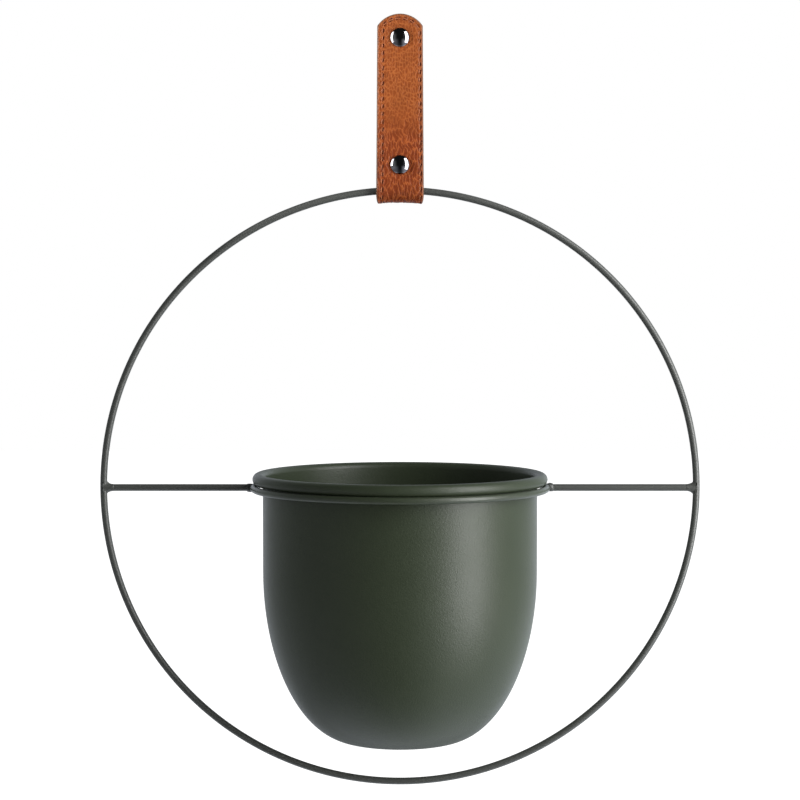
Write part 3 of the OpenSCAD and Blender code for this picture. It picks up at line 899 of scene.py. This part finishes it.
post_corners = [
    [tube_bore_r, sheet_t * 1.5], [flange_r - sheet_t / 2, sheet_t * 1.5], [flange_r, sheet_t],
    [cap_r - lip_w - fit_gap, sheet_t], [cap_r - lip_w - fit_gap - sheet_t, 0], [tube_r, 0],
    [tube_r, -strap_t - base_t], [roll_r, -strap_t - base_t], [roll_r, -strap_t - base_t - sheet_t],
    [tube_bore_r, -strap_t - base_t - sheet_t]]
socket_corners = [
    [tube_r + fit_gap, 0], [socket_r, 0], [socket_r, base_t], [cavity_r + sheet_t, socket_h - sheet_t],
    [cavity_r, socket_h], [mouth_r, socket_h], [mouth_r, socket_h - sheet_t],
    [cavity_r, socket_h - sheet_t], [cavity_r, base_t], [tube_r + fit_gap, base_t]]
stud_corners = [
    [eyelet_r + fit_gap, 0], [socket_r, 0], [socket_r, base_t / 2], [socket_r - base_t, base_t],
    [neck_r, base_t], [neck_r, stud_h - stud_head_h], [head_r, stud_h - stud_head_h * 2 / 3],
    [head_r, stud_h - stud_head_h / 3], [head_r - stud_head_h / 3, stud_h], [eyelet_r + fit_gap, stud_h]]
eyelet_corners = [
    [eyelet_r - sheet_t, -strap_t - stud_h], [eyelet_r, -strap_t - stud_h], [eyelet_r, 0], [socket_r, 0],
    [socket_r, sheet_t], [socket_r - eyelet_curl, sheet_t + eyelet_curl],
    [eyelet_r + eyelet_curl, sheet_t + eyelet_curl], [eyelet_r - sheet_t, sheet_t]]


def spring_ring():
    """An open ring of round wire behind the socket's mouth: (R + r cos b) at angle a, and r sin b up,
    where r closes at both ends with the 60th power of the way."""
    way = np.linspace(-1, 1, 73)[:, None]
    a = np.pi + way * (np.pi - spring_opening / 2)
    r = spring_r * np.sqrt(np.clip(1 - way**60, 0, 1))
    b = np.linspace(0, 2 * np.pi, 12, endpoint=False)[None, :]
    out = mouth_r + spring_r + r * np.cos(b)
    up = socket_h - sheet_t - fit_gap - spring_r + r * np.sin(b)
    return np.stack(np.broadcast_arrays(out * np.cos(a), out * np.sin(a), up), -1)


def press_stud(label, height, front_body):
    """One press stud: cap, post, socket and spring ring on the front leaf, stud and eyelet behind."""
    def part(name, points, body, ring=True, metal=gunmetal, slot="gunmetal"):
        """One metal piece of the stud, a closed ring of rows unless it has ends."""
        grid_piece(f"{label}_{name}_metal", points, ring, metal, body,
                   replaces=(f"{label}_snap_{name}",), slot=slot)

    part("cap", to_front(turn(cap_profile(), 128), height, -snap_face), front_body, ring=False)
    part("post", to_front(turn(rounded(post_corners, 0.12)), height, -snap_face), front_body)
    part("socket", to_rear(turn(rounded(socket_corners, 0.12)), height, -snap_gap / 2), front_body)
    part("spring", to_rear(spring_ring(), height, -snap_gap / 2), front_body, ring=False,
         metal=spring_steel, slot="spring_steel")
    part("stud", to_front(turn(rounded(stud_corners, 0.15)), height, snap_gap / 2), "strap")
    part("eyelet", to_rear(turn(rounded(eyelet_corners, 0.25)), height, snap_face), "strap")


press_stud("lower", lower_height, "strap")
press_stud("upper", upper_height, "flap")


# The floor, well under the hoop, and the white room round it

def floor_material():
    """Pale floor that keeps a soft shadow under the object and turns white away from it."""
    material = bpy.data.materials.new("pale_floor")
    material.use_nodes = True
    tree = material.node_tree
    tree.nodes.clear()
    place = add(tree, "ShaderNodeTexCoord").outputs["Object"]
    level = add(tree, "ShaderNodeMapping", Vector=place, Scale=(1.0, 1.0, 0.0)).outputs[0]
    distance = add(tree, "ShaderNodeVectorMath", {"operation": "LENGTH"}, _0=level).outputs["Value"]
    far = add(tree, "ShaderNodeMapRange", {"interpolation_type": "SMOOTHSTEP"}, Value=distance,
              From_Min=0.35, From_Max=0.95).outputs[0]
    rays = add(tree, "ShaderNodeLightPath")
    seen = math_node(tree, "MAXIMUM", rays.outputs["Is Camera Ray"], rays.outputs["Is Transmission Ray"])
    strength = math_node(tree, "MULTIPLY", math_node(tree, "MULTIPLY_ADD", far, 0.55, 0.45), seen)
    glow = add(tree, "ShaderNodeEmission", Color=(1, 1, 1, 1), Strength=strength).outputs[0]
    plain = add(tree, "ShaderNodeBsdfDiffuse", Color=(0.72, 0.72, 0.71, 1)).outputs[0]
    both = add(tree, "ShaderNodeAddShader", _0=glow, _1=plain).outputs[0]
    add(tree, "ShaderNodeOutputMaterial", Surface=both)
    return material


floor_z = -640.0
floor_side = 6000.0
floor_points = np.array([[-1, -1, 0], [1, -1, 0], [1, 1, 0], [-1, 1, 0]]) * floor_side + [0, 0, floor_z]
floor = make_piece("floor", floor_points, [[0, 1, 2, 3]], floor_material())
floor.visible_glossy = False


def white_room():
    """World: white where the camera looks past the object, and even soft light on the rest. What it
    shows in gloss is a sum of eased steps over the direction: dark in front, a band at each side, more
    below, and most behind, rising to the right and once more where the pot's rims mirror the places
    just beside straight behind. What comes from below and from behind is a little cooler."""
    world = bpy.data.worlds.new("white_room")
    bpy.context.scene.world = world
    world.use_nodes = True
    tree = world.node_tree
    tree.nodes.clear()

    def smooth(value, start, end, low=0.0, high=1.0):
        """An eased step of a value from low at start to high at end."""
        return add(tree, "ShaderNodeMapRange", {"interpolation_type": "SMOOTHSTEP"}, Value=value,
                   From_Min=start, From_Max=end, To_Min=low, To_Max=high).outputs[0]

    direction = add(tree, "ShaderNodeTexCoord").outputs["Generated"]
    x, y, z = add(tree, "ShaderNodeSeparateXYZ", Vector=direction).outputs
    upright = math_node(tree, "ABSOLUTE", z)
    across = math_node(tree, "ABSOLUTE", x)
    left_front = math_node(tree, "MULTIPLY", smooth(x, -0.45, -0.8, 0.0, 0.07), smooth(y, 0.2, -0.2))
    both_sides = smooth(across, 0.35, 0.8, 0.0, 0.18)
    sides = math_node(tree, "MULTIPLY", math_node(tree, "ADD", both_sides, left_front),
                      smooth(upright, 0.3, 0.75, 1.0, 0.0))
    right = smooth(math_node(tree, "MULTIPLY_ADD", x, 3.2, y), 1.2, 2.8, 0.0, 0.27)
    level = math_node(tree, "ADD", 0.31, right)
    level = math_node(tree, "MULTIPLY_ADD", smooth(y, 0.70, 0.95, 0.0, 0.60),
                      smooth(across, 0.0, 0.3, 0.45, 1.0), level)
    rims = math_node(tree, "ADD", smooth(x, 0.1, 0.4, 0.0, 0.45), smooth(x, -0.1, -0.4, 0.0, 0.2))
    level = math_node(tree, "MULTIPLY_ADD", rims, smooth(y, 0.80, 0.97), level)
    behind = math_node(tree, "MULTIPLY", smooth(y, -0.05, 0.6), level)
    under = math_node(tree, "MULTIPLY_ADD", smooth(z, -0.6, -0.97, 0.0, 1.0), smooth(y, -0.5, 0.0),
                      smooth(z, -0.4, -0.9, 0.015, 0.05))
    low = math_node(tree, "ADD", smooth(x, 0.1, 0.6, 0.0, 0.55), smooth(x, -0.1, -0.5, 0.0, 0.16))
    under = math_node(tree, "MULTIPLY_ADD", low, smooth(z, 0.0, -0.45), under)
    mirrored = math_node(tree, "ADD", math_node(tree, "ADD", behind, sides), under)
    rays = add(tree, "ShaderNodeLightPath")
    seen = math_node(tree, "MAXIMUM", rays.outputs["Is Camera Ray"], rays.outputs["Is Transmission Ray"])
    glossy = rays.outputs["Is Glossy Ray"]
    ambient = smooth(z, 0.0, -1.0, 0.28, 0.4)
    other = math_node(tree, "MULTIPLY", math_node(tree, "SUBTRACT", 1.0, glossy), ambient)
    unseen = math_node(tree, "MULTIPLY_ADD", glossy, mirrored, other)
    hidden = math_node(tree, "MULTIPLY", math_node(tree, "SUBTRACT", 1.0, seen), unseen)
    strength = math_node(tree, "ADD", hidden, seen)
    cool = math_node(tree, "MAXIMUM", smooth(z, -0.1, -0.5), smooth(y, 0.7, 0.95))
    tint = mix_colour(tree, cool, (0.93, 1.0, 1.01, 1), (0.93, 0.985, 1.09, 1))
    colour = mix_colour(tree, glossy, (1, 1, 1, 1), tint)
    light = add(tree, "ShaderNodeBackground", Color=colour, Strength=strength).outputs[0]
    add(tree, "ShaderNodeOutputWorld", Surface=light)


white_room()


# Lamps and camera

def softbox(name, azimuth, height, distance, size, power, aim_z, spread=180):
    """A rectangular lamp at an azimuth in degrees to the right of the camera, turned to the object's
    axis at a height, whose light spreads by an angle in degrees."""
    lamp = bpy.data.lights.new(name, "AREA")
    lamp.shape = "RECTANGLE"
    lamp.size, lamp.size_y = size
    lamp.energy = power
    lamp.spread = math.radians(spread)
    place = bpy.data.objects.new(name, lamp)
    bpy.context.scene.collection.objects.link(place)
    a = math.radians(azimuth)
    place.location = (distance * math.sin(a), -distance * math.cos(a), height)
    place.rotation_euler = (math.atan2(distance, height - aim_z), 0, a)
    place.visible_camera = False


softbox("key_softbox", azimuth=58, height=0.22, distance=1.1, size=(0.50, 1.9), power=24.7, aim_z=0.22)
softbox("strap_softbox", azimuth=-70, height=0.06, distance=0.13, size=(0.035, 0.26), power=0.12,
        aim_z=0.06, spread=90)

camera_pitch = math.radians(3)
camera_distance = 1.253
aim_z = hoop_z * MM + 0.044
camera = bpy.data.objects.new("camera", bpy.data.cameras.new("camera"))
camera.data.lens = 112.5
camera.data.sensor_width = 36.0
camera.location = (0, -camera_distance * math.cos(camera_pitch),
                   aim_z + camera_distance * math.sin(camera_pitch))
camera.rotation_euler = (math.pi / 2 - camera_pitch, 0, 0)
bpy.context.scene.collection.objects.link(camera)
bpy.context.scene.camera = camera

bpy.context.scene.view_settings.view_transform = "Standard"
